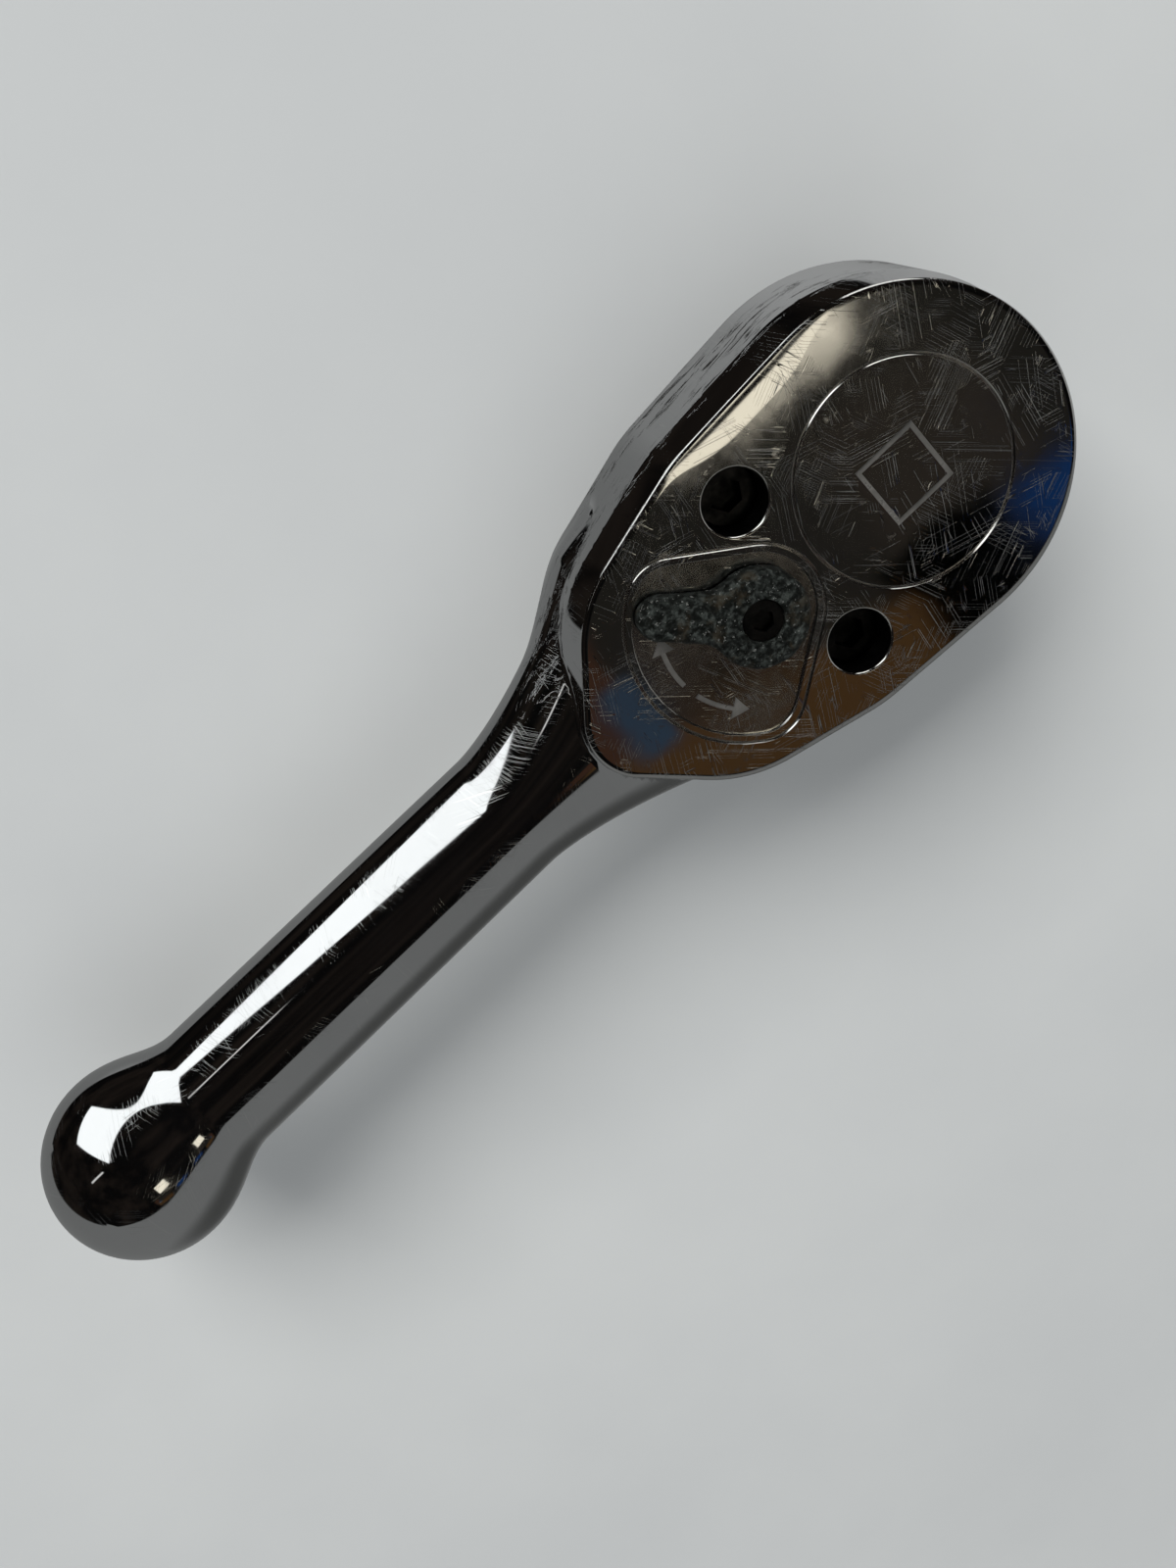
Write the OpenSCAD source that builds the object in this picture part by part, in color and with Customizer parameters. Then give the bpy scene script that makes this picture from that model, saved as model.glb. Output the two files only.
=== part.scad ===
// Stubby reversible ratchet wrench, 3/8 inch square drive, ball-end handle.
// Millimetres. The origin is the centre of the square drive's end face.
// +Z points from the drive to the reversing lever, +X points along the handle.

/* [Tool] */
// Overall length, from the front of the head to the end of the ball
tool_length = 110; // [100:1:180]

/* [Head] */
// Thickness of the head, from the cover side to the lever face
head_t = 13; // [11:0.5:17]
// Wall from the gear's tip circle to the rim of the lever face
head_wall = 5.4; // [4:0.1:7]
// How far the side wall bulges out past the rim of the lever face
bulge = 1.1; // [0.4:0.1:2]
// How far the bulge leans towards the handle
bulge_lean = 0.8; // [0:0.1:1.5]
// Depth below the lever face at which the side wall has reached its full bulge
bulge_depth = 2.9; // [2:0.1:6]
// Edge round between the side wall and the cover side
bottom_round = 2; // [1:0.25:3]
// Small chamfer round the lever face
rim_edge = 0.3; // [0.1:0.1:0.6]
// Thickness of the roof over the mechanism
roof_t = 3; // [2.5:0.1:4]
// Taper of the face from the gear to the cover screws, in radius
face_cheek = 0.55; // [0:0.05:1]
// Taper of the face from the gear to the lever, in radius
face_taper = 2.5; // [1:0.1:4]
// Radius of the chin at the handle end of the face
chin_r = 5; // [4:0.1:7]
// Distance from the lever's pivot to the centre of the chin's radius
chin_reach = 11.9; // [9:0.1:13]

/* [Handle] */
// Radius of the handle where the neck ends
handle_r_neck = 5.8; // [5:0.1:7]
// Radius of the handle where it meets the ball
handle_r_end = 6.2; // [5:0.1:8]
// Radius of the ball end
ball_r = 8.8; // [7.4:0.1:11]
// Radius of the fillet between the handle and the ball
ball_fillet = 2.5; // [1:0.25:4]
// Length of the flared neck
neck_len = 18; // [14:1:24]
// Radius of the neck where it leaves the head
neck_r = 12; // [9:0.5:13]

/* [Drive] */
// Size of the square drive across its flats
drive_square = 9.53; // [8:0.01:12.7]
// Length of the square drive below its shoulder
tang_len = 10.6; // [9:0.1:14]
// Radius of the cylinder that rounds the square's corners, past half the flats
corner_relief = 1.35; // [1:0.05:1.8]
// Lead-in chamfer at the end of the square
tang_chamfer = 0.7; // [0.3:0.1:1.2]
// Radius of the gear's shoulder, past half the flats
collar_wall = 2.5; // [2:0.1:4]
// How far the shoulder stands out of the cover
collar_proud = 0.4; // [0.2:0.1:1]
// Gear teeth
teeth = 36; // [36, 72]
// Radius over the gear teeth
gear_r = 9; // [8.8:0.1:12]
// Height of a gear tooth
tooth_h = 0.8; // [0.5:0.05:0.9]

/* [Cover] */
// Thickness of the cover plate
plate_t = 2; // [1.5:0.1:3]
// How far the plate reaches past the gear cavity
plate_land = 2.2; // [1:0.1:2.4]
// Distance of a cover screw from the gear's tip circle, along the handle
screw_ahead = 2.1; // [0.5:0.1:3]
// Distance of a cover screw from the middle plane
screw_side = 8.05; // [7.8:0.05:9.7]
// Radius of a cover screw's shank
screw_r = 1.5; // [1.2:0.05:1.7]
// Radius of a cover screw's head
screw_head_r = 2.45; // [2:0.05:2.8]

/* [Reversing mechanism] */
// Distance of the lever's pivot from the gear's tip circle
lever_gap = 6.7; // [6.5:0.1:8]
// Swing of the lever from one position to the other, in degrees
lever_swing = 90; // [60:5:90]
// Distance from the pivot to the centre of the lever's tip
lever_reach = 8.1; // [7:0.1:10]
// Radius of the lever's hub
lever_hub_r = 4.1; // [3.5:0.1:4.5]
// Radius of the lever's tip, half the width of its arm
lever_tip_r = 1.8; // [1.2:0.05:2]
// Thickness of the lever
lever_t = 2.1; // [1.8:0.1:3]
// Rocking of the pawl from the middle to either side, in degrees
pawl_rock = 5.75; // [5:0.25:7]
// Radius of the selector spindle in its pocket
spindle_r = 2.7; // [2.5:0.1:3]
// Distance from the spindle's axis to the tip of its plunger
plunger_reach = 3.5; // [3.2:0.1:3.6]
// Radius of the plunger
plunger_r = 0.9; // [0.7:0.05:1]

/* [Clearances] */
// Radial gap of a turning fit
run_gap = 0.05; // [0.02:0.01:0.1]
// Gap between flat faces that pass each other
face_gap = 0.15; // [0.1:0.05:0.3]
// Gap round the gear and the pawl
tooth_gap = 0.2; // [0.15:0.05:0.3]

/* [Face marks] */
// Depth of the shallow recess under the lever
recess_d = 0.35; // [0.2:0.05:0.6]
// Width of an engraved line
line_w = 0.3; // [0.2:0.05:0.4]
// Depth of an engraved line
line_d = 0.15; // [0.1:0.05:0.25]
// How far the engraved ring lies inside the gear's tip circle (less than 0: outside it)
ring_inset = -0.25; // [-0.5:0.05:1]

/* [Hidden] */

// Levels, counted up from the end of the square drive
head_z0 = tang_len + collar_proud;
head_z1 = head_z0 + head_t;
axis_z = head_z0 + head_t / 2;
plate_z1 = head_z0 + plate_t;
cavity_z1 = head_z1 - roof_t;
washer_t = 0.5;
gear_z0 = plate_z1 + face_gap;
gear_z1 = cavity_z1 - washer_t - face_gap;
pawl_roof = 1.9;
pocket_z1 = cavity_z1 - pawl_roof;
pawl_z0 = plate_z1 + face_gap;
pawl_z1 = pocket_z1 - face_gap;

// Places along the handle
face_r = gear_r + head_wall;
lever_x = gear_r + lever_gap;
screw_x = gear_r + screw_ahead;
cavity_r = gear_r + tooth_gap;
chin_x = lever_x + chin_reach;
neck_x0 = chin_x - 3.6;
neck_x1 = neck_x0 + neck_len;
ball_x = tool_length - (face_r + bulge - bulge_lean) - ball_r;

// The lever face and the cover plate are each the outline round a few circles: [x, y, radius]
face_circles = [[0, 0, face_r], [gear_r + 1.8, 0, face_r - face_cheek],
    [lever_x + 2.9, 0, face_r - face_taper], [chin_x, 0, chin_r]];
plate_r = cavity_r + plate_land;
plate_circles = [[0, 0, plate_r], [lever_x, 0, plate_r - 2], [lever_x + 6.2, 0, plate_r - 7]];
// The recess under the lever: its hub, and a fan round the lever's swing
recess_hub = lever_hub_r + 1;
recess_fan = lever_reach - 0.9;
recess_corner = 3;
recess_circles = [[lever_x, 0, recess_hub],
    for (a = [-54 : 9 : 54]) [lever_x + recess_fan * cos(a), recess_fan * sin(a), recess_corner]];
double_line = 0.75;

// Drive
tang_r = drive_square / 2 + corner_relief;
collar_r = drive_square / 2 + collar_wall;
pilot_r = 3.4;
pilot_z1 = head_z1 - 1.3;
pilot_room = 0.2;
seal_wire = 0.4;
ball_d_r = 1.6;
ball_proud = 0.7;
detent_z = 0.42 * tang_len;
detent_x = drive_square / 2 + ball_proud - ball_d_r;
detent_bore_r = ball_d_r + run_gap;
detent_lip = 0.26;
detent_depth = -2.2;

// Cover screws
screw_seat_z = pocket_z1 + 0.3;
screw_head_h = 1.9;
screw_socket_r = 1.45;
screw_socket_d = 1.2;
screw_hole_gap = 0.1;
screw_post_r = screw_r + 0.8;
counterbore_r = screw_head_r + 0.2;

// Pawl, drawn rocked to the middle; it is stored rocked towards +Y
pawl_x = gear_r + 1.8;
pawl_pin_r = 0.75;
pawl_pin_seat = 1.2;
pawl_hub = 1.5;
pawl_heel = [1.7, 2.6];
pawl_heel_r = 1.1;
pawl_room = 3.3;
pawl_nose_r = 1.15;
pawl_nose_at = 25;
nose_engaged = (gear_r + 0.3) * [cos(pawl_nose_at), sin(pawl_nose_at)];
nose_middle = turned(nose_engaged, -pawl_rock);
pawl_reach = norm(nose_engaged - [pawl_x, 0]) + pawl_nose_r;

// Selector spindle and lever
spindle_washer_t = 0.3;
spindle_z0 = plate_z1 + face_gap;
spindle_z1 = cavity_z1 - spindle_washer_t - run_gap;
shaft_r = 2.25;
spigot_r = 1.45;
spigot_h = 1.2;
lever_z0 = head_z1 - recess_d + 0.2;
lever_z1 = lever_z0 + lever_t;
key_w = 3.2;
key_h = 0.6;
lever_angle = -lever_swing / 2;
lever_screw_r = 1;
lever_screw_head_r = 1.65;
lever_screw_head_h = 0.8;
lever_counterbore_d = 1.1;
lever_screw_len = 5.4;
plunger_z = (pawl_z0 + pawl_z1) / 2;
plunger_back = 0.9;
plunger_bore_end = -1.9;
plunger_dir = 180 + lever_angle;

function turned(p, a) = let (q = p - [pawl_x, 0])
    [pawl_x, 0] + [q[0] * cos(a) - q[1] * sin(a), q[0] * sin(a) + q[1] * cos(a)];

// The outline round a list of circles, each grown by the same amount
function outline(circles, grow = 0, steps = 72) = [for (i = [0 : steps - 1])
    let (a = 360 * i / steps, u = [cos(a), sin(a)],
        reach = [for (c = circles) c[0] * u[0] + c[1] * u[1] + c[2]],
        c = circles[search(max(reach), reach)[0]])
    [c[0] + (c[2] + grow) * u[0], c[1] + (c[2] + grow) * u[1]]];

// Share of the bulge that the side wall has reached at a depth below the face's rim
function bulged(depth) = 1 - pow(1 - min(1, depth / bulge_depth), 1.25);

// The face's circles, grown and moved towards the handle by a share of the bulge
function wall_circles(share) = [for (c = face_circles) let (u = c[0] / chin_x)
    [c[0] + share * bulge_lean * (1 - u), 0, c[2] + share * bulge * (1 - u / 4)]];

// The side wall from the cover side up, as [share, grow, z]
wall_levels = concat(
    [for (a = [0 : 22.5 : 90]) [1, bottom_round * (sin(a) - 1),
        head_z0 + bottom_round * (1 - cos(a))]],
    [for (i = [0 : 6]) let (depth = bulge_depth + (rim_edge - bulge_depth) * i / 6)
        [bulged(depth), 0, head_z1 - depth]],
    [[0, -rim_edge, head_z1]]);

// One closed skin over a stack of rings that have the same number of points
module skin(rings) {
    n = len(rings[0]);
    m = len(rings);
    polyhedron(points = [for (r = rings) each r],
        faces = concat([[for (i = [0 : n - 1]) i]],
            [for (k = [0 : m - 2]) for (i = [0 : n - 1]) let (j = (i + 1) % n)
                each [[k * n + i, (k + 1) * n + i, (k + 1) * n + j],
                    [k * n + i, (k + 1) * n + j, k * n + j]]],
            [[for (i = [n - 1 : -1 : 0]) (m - 1) * n + i]]), convexity = 6);
}

module tube(r_in, r_out, z0, z1) {
    translate([0, 0, z0]) difference() {
        cylinder(r = r_out, h = z1 - z0, $fn = 96);
        translate([0, 0, -1]) cylinder(r = r_in, h = z1 - z0 + 2, $fn = 96);
    }
}

module rod(r, z0, z1) {
    translate([0, 0, z0]) cylinder(r = r, h = z1 - z0, $fn = 96);
}

module plate_shape(circles, grow, z0, z1) {
    translate([0, 0, z0]) linear_extrude(z1 - z0) polygon(outline(circles, grow));
}

// A compression spring along +X from x0 to x1
module coil_spring(coil_r, wire_r, x0, x1, turns) {
    sides = 8;
    steps = 16 * turns;
    travel = x1 - x0 - 2 * wire_r;
    skin([for (k = [0 : steps]) let (a = 360 * turns * k / steps)
        [for (i = [0 : sides - 1]) let (b = 360 * i / sides, r = coil_r + wire_r * cos(b))
            [x0 + wire_r + travel * k / steps + wire_r * sin(b), r * cos(a), r * sin(a)]]]);
}

function gear_points(grow = 0) = let (pitch = 360 / teeth, tip = 0.08 * pitch, open = 30 * grow / gear_r)
    [for (i = [0 : teeth - 1]) for (p = [[-0.5 * pitch + tip - open, gear_r - tooth_h + grow],
        [-tip - open, gear_r + grow], [tip + open, gear_r + grow],
        [0.5 * pitch - tip + open, gear_r - tooth_h + grow]])
        let (a = i * pitch + p[0]) p[1] * [cos(a), sin(a)]];

// The profile of the handle and ball along their axis, as [radius, x]
function fillet_centre() = let (r = handle_r_end + ball_fillet)
    [r, ball_x - sqrt(pow(ball_r + ball_fillet, 2) - r * r)];
function grip_profile() = let (f = fillet_centre(), open = atan2(f[0], ball_x - f[1]))
    concat([[0, neck_x0 - 3], [handle_r_neck, neck_x0 - 3], [handle_r_neck, neck_x1]],
        [for (i = [0 : 5]) let (a = -90 + (90 - open) * i / 5)
            [f[0] + ball_fillet * sin(a), f[1] + ball_fillet * cos(a)]],
        [for (i = [1 : 24]) let (a = open + (180 - open) * i / 24)
            [i == 24 ? 0 : ball_r * sin(a), ball_x - ball_r * cos(a)]]);

module grip() {
    translate([0, 0, axis_z]) rotate([0, 90, 0]) rotate_extrude($fn = 96) polygon(grip_profile());
}

module head_blank() {
    skin([for (w = wall_levels) [for (p = outline(wall_circles(w[0]), w[1])) [p[0], p[1], w[2]]]]);
}

// The flared neck is an ellipse in section, just shallower than the handle
function neck_ring(x, t) = let (depth = handle_r_neck - 0.12, w = depth + (neck_r - depth) * pow(t, 1.5))
    [for (i = [0 : 47]) let (a = 360 * i / 48) [x, w * cos(a), axis_z + depth * sin(a)]];

module neck() {
    skin(concat([neck_ring(neck_x0 - 3, 1)],
        [for (i = [0 : 14]) let (t = 1 - i / 14) neck_ring(neck_x1 - neck_len * t, t)]));
}

module screw_hole(s) {
    translate([screw_x, s * screw_side, 0]) {
        rod(screw_r + screw_hole_gap, plate_z1 - 1, screw_seat_z + 1);
        rod(counterbore_r, screw_seat_z, head_z1 + 1);
    }
}

module pawl_pocket() {
    translate([0, 0, plate_z1 - 1]) linear_extrude(pocket_z1 - plate_z1 + 1) difference() {
        intersection() {
            translate([pawl_x, 0]) circle(r = pawl_reach + tooth_gap, $fn = 96);
            translate([0, -cavity_r]) square([pawl_x + pawl_room, 2 * cavity_r]);
        }
        for (s = [-1, 1]) translate([screw_x, s * screw_side]) circle(r = screw_post_r, $fn = 64);
    }
}

module face_marks() {
    plate_shape(recess_circles, 0, head_z1 - recess_d, head_z1 + 1);
    difference() {
        plate_shape(recess_circles, double_line, head_z1 - line_d, head_z1 + 1);
        plate_shape(recess_circles, double_line - line_w, head_z1 - 1, head_z1 + 2);
    }
    tube(gear_r - ring_inset - line_w, gear_r - ring_inset, head_z1 - line_d, head_z1 + 1);
}

module body() {
    color("silver") difference() {
        union() {
            head_blank();
            neck();
            grip();
        }
        plate_shape(plate_circles, run_gap, head_z0 - 1, plate_z1);
        rod(cavity_r, plate_z1 - 1, cavity_z1);
        rod(pilot_r + run_gap, cavity_z1 - 1, pilot_z1 + pilot_room);
        pawl_pocket();
        translate([pawl_x, 0, 0]) rod(pawl_pin_r, pocket_z1 - 1, pocket_z1 + pawl_pin_seat);
        translate([lever_x, 0, 0]) {
            rod(plunger_reach + tooth_gap, plate_z1 - 1, cavity_z1);
            rod(shaft_r + run_gap, cavity_z1 - 1, head_z1 + 1);
            rod(shaft_r + run_gap + 2 * seal_wire, cavity_z1 + 1, cavity_z1 + 1 + 2.4 * seal_wire);
        }
        for (s = [-1, 1]) screw_hole(s);
        face_marks();
    }
}

module cover_plate() {
    color("gainsboro") difference() {
        plate_shape(plate_circles, 0, head_z0, plate_z1);
        rod(collar_r + run_gap, head_z0 - 1, plate_z1 + 1);
        rod(collar_r + run_gap + 2 * seal_wire, plate_z1 - 2.4 * seal_wire, plate_z1 + 1);
        for (s = [-1, 1]) translate([screw_x, s * screw_side, 0]) rod(screw_r, head_z0 - 1, plate_z1 + 1);
        translate([pawl_x, 0, 0]) rod(pawl_pin_r, plate_z1 - pawl_pin_seat, plate_z1 + 1);
        translate([lever_x, 0, 0]) rod(spigot_r + run_gap, plate_z1 - spigot_h - face_gap, plate_z1 + 1);
    }
}

module cover_screw(s) {
    color("dimgray") translate([screw_x, s * screw_side, 0]) difference() {
        union() {
            rod(screw_r, head_z0 + 0.2, screw_seat_z);
            rod(screw_head_r, screw_seat_z, screw_seat_z + screw_head_h);
        }
        translate([0, 0, screw_seat_z + screw_head_h - screw_socket_d])
            cylinder(r = screw_socket_r, h = screw_socket_d + 1, $fn = 6);
    }
}

module pawl_pin() {
    color("gray") translate([pawl_x, 0, 0])
        rod(pawl_pin_r, plate_z1 - pawl_pin_seat, pocket_z1 + pawl_pin_seat);
}

module thrust_washer() {
    color("darkgoldenrod") tube(pilot_r + 2 * run_gap, gear_r - tooth_h - 0.5, cavity_z1 - washer_t, cavity_z1);
}

module seal_ring(inner_r, z) {
    color("black") translate([0, 0, z]) rotate_extrude($fn = 96)
        translate([inner_r + run_gap + seal_wire, 0]) circle(r = seal_wire, $fn = 32);
}

module drive_seal() {
    seal_ring(collar_r, plate_z1 - 1.2 * seal_wire);
}

module spindle_seal() {
    translate([lever_x, 0, 0]) seal_ring(shaft_r, cavity_z1 + 1 + 1.2 * seal_wire);
}

module spindle_washer() {
    color("lightsteelblue") translate([lever_x, 0, 0])
        tube(shaft_r + 2 * run_gap, plunger_reach - 0.3, cavity_z1 - spindle_washer_t, cavity_z1);
}

module square_tang() {
    intersection() {
        translate([-drive_square / 2, -drive_square / 2, 0]) cube([drive_square, drive_square, tang_len + 1]);
        union() {
            rod(tang_r, tang_chamfer, tang_len + 1);
            cylinder(r1 = tang_r - tang_chamfer, r2 = tang_r, h = tang_chamfer, $fn = 96);
        }
    }
}

module drive_gear() {
    color("darkgray") difference() {
        union() {
            square_tang();
            rod(collar_r, tang_len, gear_z0 + 1);
            translate([0, 0, gear_z0]) linear_extrude(gear_z1 - gear_z0) polygon(gear_points());
            rod(pilot_r, gear_z1 - 1, pilot_z1);
        }
        translate([0, 0, detent_z]) rotate([0, 90, 0]) {
            rod(detent_bore_r, detent_depth, drive_square / 2 - detent_lip);
            rod(detent_bore_r - 0.15, detent_depth, drive_square);
        }
    }
}

module detent_ball() {
    color("lightgray") translate([detent_x, 0, detent_z]) sphere(r = ball_d_r, $fn = 64);
}

module detent_spring() {
    color("slategray") translate([0, 0, detent_z])
        coil_spring(1.05, 0.22, detent_depth, detent_x - 1.27, 4);
}

module selector_spindle() {
    color("gray") translate([lever_x, 0, 0]) difference() {
        union() {
            rod(spigot_r, plate_z1 - spigot_h, spindle_z0 + 0.5);
            rod(spindle_r, spindle_z0, spindle_z1);
            rod(shaft_r, spindle_z1 - 0.5, lever_z0);
            rotate([0, 0, lever_angle]) translate([-key_w / 2, -key_w / 2, lever_z0 - 0.5])
                cube([key_w, key_w, key_h + 0.5]);
        }
        rod(lever_screw_r, lever_z1 - lever_counterbore_d - lever_screw_len - 0.3, lever_z1);
        translate([0, 0, plunger_z]) rotate([0, 0, plunger_dir]) rotate([0, 90, 0])
            rod(plunger_r + run_gap, plunger_bore_end, spindle_r + 1);
    }
}

// A round-topped pad, the shape of the lever's hub and of its tip
module pad(r, top_r, h) {
    rotate_extrude($fn = 48) polygon([[0, 0], [r - 0.15, 0], [r, 0.2], [r, h - top_r],
        for (a = [22.5 : 22.5 : 67.5]) [r - top_r * (1 - cos(a)), h - top_r * (1 - sin(a))],
        [r - top_r, h], [0, h]]);
}

module reversing_lever() {
    color("slategray") translate([lever_x, 0, lever_z0]) rotate([0, 0, lever_angle]) difference() {
        union() {
            pad(lever_hub_r, 0.7, lever_t);
            hull() {
                pad(lever_tip_r + 0.5, 0.9, lever_t - 0.35);
                translate([lever_reach, 0, 0]) pad(lever_tip_r, 0.9, lever_t - 0.35);
            }
        }
        rod(lever_screw_head_r + 0.1, lever_t - lever_counterbore_d, lever_t + 1);
        rod(lever_screw_r + run_gap, -1, lever_t);
        translate([-key_w / 2 - run_gap, -key_w / 2 - run_gap, -1])
            cube([key_w + 2 * run_gap, key_w + 2 * run_gap, key_h + 1 + run_gap]);
    }
}

module lever_screw() {
    seat = lever_z1 - lever_counterbore_d;
    color("dimgray") translate([lever_x, 0, 0]) difference() {
        union() {
            rod(lever_screw_r, seat - lever_screw_len, seat);
            rod(lever_screw_head_r, seat, seat + lever_screw_head_h);
        }
        translate([0, 0, seat + 0.25]) cylinder(r = 0.95, h = 1, $fn = 6);
    }
}

module in_spindle() {
    translate([lever_x, 0, plunger_z]) rotate([0, 0, plunger_dir]) children();
}

module plunger() {
    color("lightgray") in_spindle() intersection() {
        rotate([0, 90, 0]) rod(plunger_r, plunger_back, plunger_reach);
        translate([plunger_reach - 1.2 * plunger_r, 0, 0]) union() {
            sphere(r = 1.2 * plunger_r, $fn = 64);
            rotate([0, -90, 0]) rod(plunger_r + 1, 0.1, plunger_reach);
        }
    }
}

module plunger_spring() {
    color("slategray") in_spindle()
        coil_spring(0.58, 0.14, plunger_bore_end, plunger_back, 5);
}

// One half of the pawl: it meshes when it is rocked in, and clears the tip circle when rocked out
module pawl_half(s) {
    nose = [nose_middle[0], s * nose_middle[1], pawl_nose_r];
    heel = [pawl_x + pawl_heel[0], s * pawl_heel[1], pawl_heel_r];
    difference() {
        polygon(outline([[pawl_x, 0, pawl_hub - 0.1], nose, heel]));
        rocked(-s * pawl_rock) {
            polygon(gear_points(0.11));
            translate([lever_x, 0]) circle(r = plunger_reach + 0.13, $fn = 96);
        }
        rocked(s * pawl_rock) translate([lever_x, 0]) circle(r = spindle_r + 0.25, $fn = 96);
        rocked(s * pawl_rock) circle(r = gear_r + 0.08, $fn = 180);
    }
}

module rocked(a) {
    translate([pawl_x, 0]) rotate([0, 0, a]) translate([-pawl_x, 0]) children();
}

module pawl() {
    color("darkgray") translate([0, 0, pawl_z0]) linear_extrude(pawl_z1 - pawl_z0)
        rocked(pawl_rock) difference() {
            union() {
                pawl_half(1);
                pawl_half(-1);
            }
            translate([pawl_x, 0]) circle(r = pawl_pin_r + run_gap, $fn = 64);
        }
}

body();
cover_plate();
cover_screw(-1);  // cover_screw_left
cover_screw(1);  // cover_screw_right
pawl_pin();
thrust_washer();
drive_seal();
spindle_seal();
spindle_washer();
drive_gear();
detent_ball();
detent_spring();
selector_spindle();
reversing_lever();
lever_screw();
plunger();
plunger_spring();
pawl();
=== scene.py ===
import math

import bmesh
import bpy
import numpy as np
from mathutils import Matrix, Vector
from mathutils.geometry import delaunay_2d_cdt


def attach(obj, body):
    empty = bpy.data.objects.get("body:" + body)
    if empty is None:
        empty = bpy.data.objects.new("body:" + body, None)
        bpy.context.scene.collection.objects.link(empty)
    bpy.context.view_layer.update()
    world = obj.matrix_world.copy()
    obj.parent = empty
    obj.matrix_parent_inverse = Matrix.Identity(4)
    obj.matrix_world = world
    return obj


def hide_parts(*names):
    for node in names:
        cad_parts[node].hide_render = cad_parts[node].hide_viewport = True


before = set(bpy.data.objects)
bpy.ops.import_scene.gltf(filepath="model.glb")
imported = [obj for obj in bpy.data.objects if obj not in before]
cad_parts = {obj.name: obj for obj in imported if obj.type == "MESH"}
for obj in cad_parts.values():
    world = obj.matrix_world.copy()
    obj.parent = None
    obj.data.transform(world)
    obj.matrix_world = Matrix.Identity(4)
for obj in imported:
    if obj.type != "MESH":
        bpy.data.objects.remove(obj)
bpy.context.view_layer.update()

MM = 0.001

# ---------------------------------------------------------------- sizes, in mm, as in the CAD
FACE_Z = 24.0
RECESS_Z = FACE_Z - 0.35
BASE_Z = 11.0
PLATE_TOP_Z = 13.0
PAWL_ROOF_Z = 19.1
GEAR_ROOF_Z = 21.0
SCREW_FLOOR_Z = 19.4
AXIS_Z = 17.5
LEVER_X = 15.7
SCREW_X, SCREW_Y = 11.1, 8.05
FACE_CIRCLES = [(0, 0, 14.4), (10.8, 0, 13.85), (18.6, 0, 11.9), (27.6, 0, 5.0)]
BULGE, LEAN, BULGE_DEPTH = 1.1, 0.8, 2.9
PLATE_CIRCLES = [(0, 0, 11.4), (LEVER_X, 0, 9.4), (21.9, 0, 4.4)]
CAVITY_CIRCLES = [(0, 0, 9.2), (LEVER_X, 0, 3.7)]
FAN_R, FAN_CORNER, HUB_R = 7.2, 3.0, 5.1
RECESS_CIRCLES = [(LEVER_X, 0, HUB_R)] + [
    (LEVER_X + FAN_R * math.cos(math.radians(a)), FAN_R * math.sin(math.radians(a)), FAN_CORNER)
    for a in range(-54, 55, 9)
]
BALL_X, BALL_R = 86.5, 8.8
RIM_Z = 23.72
LEVER_ANGLE = math.radians(-45)


# ---------------------------------------------------------------- camera
CAMERA_TARGET = (34.7, 0.5, FACE_Z)
CAMERA_DISTANCE = 126.1
CAMERA_AZIMUTH, CAMERA_HEIGHT, CAMERA_ROLL = (math.radians(a) for a in (-106.3, 64.4, 151.1))
SENSOR_WIDTH = LENS = 36.0


def make_camera():
    data = bpy.data.cameras.new("photo_camera")
    cam = bpy.data.objects.new("photo_camera", data)
    bpy.context.scene.collection.objects.link(cam)
    flat = math.cos(CAMERA_HEIGHT)
    back = Vector((flat * math.cos(CAMERA_AZIMUTH), flat * math.sin(CAMERA_AZIMUTH), math.sin(CAMERA_HEIGHT)))
    turn = back.to_track_quat("Z", "Y").to_matrix().to_4x4() @ Matrix.Rotation(CAMERA_ROLL, 4, "Z")
    cam.matrix_world = Matrix.Translation((Vector(CAMERA_TARGET) + back * CAMERA_DISTANCE) * MM) @ turn
    data.sensor_fit = "AUTO"
    data.sensor_width = SENSOR_WIDTH
    data.lens = LENS
    data.clip_start = 0.001
    bpy.context.scene.camera = cam


make_camera()


# ---------------------------------------------------------------- signed distances, in mm
def capsule(x, y, x0, r0, x1, r1):
    """Distance in the plane to the outline round two circles on the X axis."""
    h = x1 - x0
    b = (r0 - r1) / h
    a = np.sqrt(1 - b * b)
    px, py = np.abs(y), x - x0
    k = -b * px + a * py
    side = a * px + b * py - r0
    return np.where(k < 0, np.hypot(px, py) - r0, np.where(k > a * h, np.hypot(px, py - h) - r1, side))


def pear(x, y, circles):
    """Distance in the plane to the outline round a row of circles."""
    parts = [capsule(x, y, p[0], p[2], q[0], q[2]) for p, q in zip(circles, circles[1:])]
    return np.minimum.reduce(parts)


def smooth_min(a, b, k):
    h = np.clip(0.5 + 0.5 * (b - a) / k, 0, 1)
    return b + (a - b) * h - k * h * (1 - h)


def step01(v, lo, hi):
    t = np.clip((v - lo) / (hi - lo), 0, 1)
    return t * t * (3 - 2 * t)


def wall_circles(depth):
    """The circles behind the side wall's outline, which bulges and leans towards the handle."""
    s = np.clip(1 - depth / BULGE_DEPTH, 0.0, 1.2)
    share = 1 - s**1.08
    out = []
    for x, y, r in FACE_CIRCLES:
        u = x / FACE_CIRCLES[-1][0]
        out.append((x + share * LEAN * (1 - u), y, r + share * BULGE * (1 - u / 4)))
    return out


def round_and(a, b, r):
    """Rounded intersection of two distances."""
    u, v = a + r, b + r
    return np.where((u > 0) & (v > 0), np.hypot(u, v) - r, np.maximum(a, b))


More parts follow.
